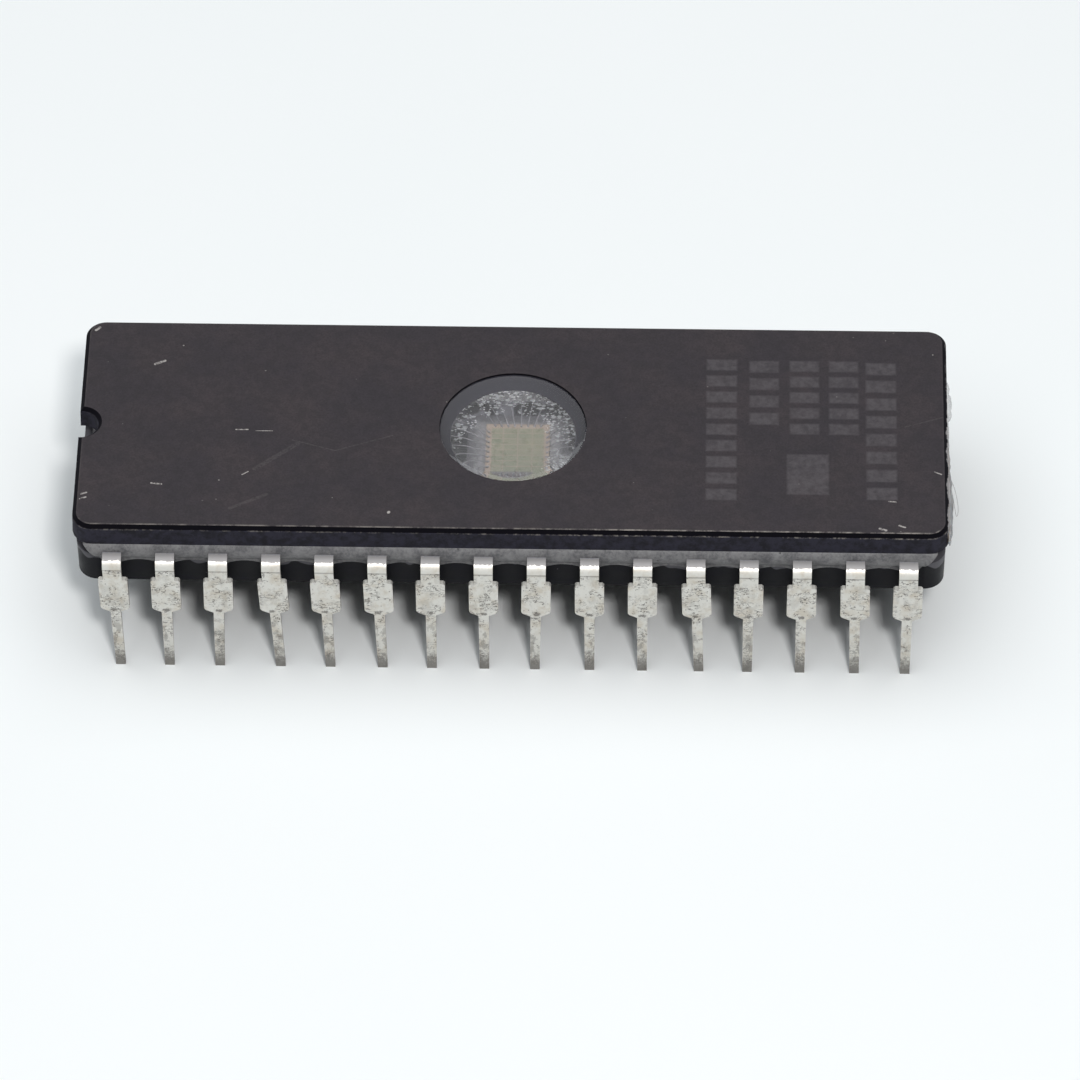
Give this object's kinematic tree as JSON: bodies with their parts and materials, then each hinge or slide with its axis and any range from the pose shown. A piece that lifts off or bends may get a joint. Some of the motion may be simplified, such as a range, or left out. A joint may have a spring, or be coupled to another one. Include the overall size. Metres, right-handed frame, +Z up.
{
  "type": "windowed ceramic memory chip in a dual-in-line package",
  "caption": "Ceramic dual-in-line chip package standing on two rows of bent leads, with a round glass window over its die, a grey glass seal and a notched end.",
  "frame": {"origin": "middle of the footprint, on the plane of the lead tips", "axes": "+X along the package away from the notched end, +Y towards the row of leads with the higher numbers, +Z up through the window"},
  "size_m": [0.042, 0.0154, 0.0089],
  "materials": {
    "lid_ceramic": "dark brown-grey pressed ceramic, matt, with fine pale scratches, chips and worn edges",
    "window_glass": "clear glass slug with a ring of fine bubbles and haze at its lower rim",
    "seal_glass": "grey fired sealing glass, dull and slightly pitted",
    "base_ceramic": "near-black ceramic, matt",
    "die_bed": "pale grey silver-filled glass, satin",
    "silicon": "polished chip surface, greenish beige with a paler border",
    "wire": "fine bright aluminium wire",
    "lead": "tin-plated alloy strip, bright at the bend, satin with dark specks and scratches below"
  },
  "bodies": {
    "root": {"lid": "lid_ceramic", "window": "window_glass", "glass_seal": "seal_glass", "base": "base_ceramic", "die_attach": "die_bed", "die": "silicon", "bond_wires": "wire", "lead_01": "lead", "lead_02": "lead", "lead_03": "lead", "lead_04": "lead", "lead_05": "lead", "lead_06": "lead", "lead_07": "lead", "lead_08": "lead", "lead_09": "lead", "lead_10": "lead", "lead_11": "lead", "lead_12": "lead", "lead_13": "lead", "lead_14": "lead", "lead_15": "lead", "lead_16": "lead", "lead_17": "lead", "lead_18": "lead", "lead_19": "lead", "lead_20": "lead", "lead_21": "lead", "lead_22": "lead", "lead_23": "lead", "lead_24": "lead", "lead_25": "lead", "lead_26": "lead", "lead_27": "lead", "lead_28": "lead", "lead_29": "lead", "lead_30": "lead", "lead_31": "lead", "lead_32": "lead"}
  },
  "joints": []
}
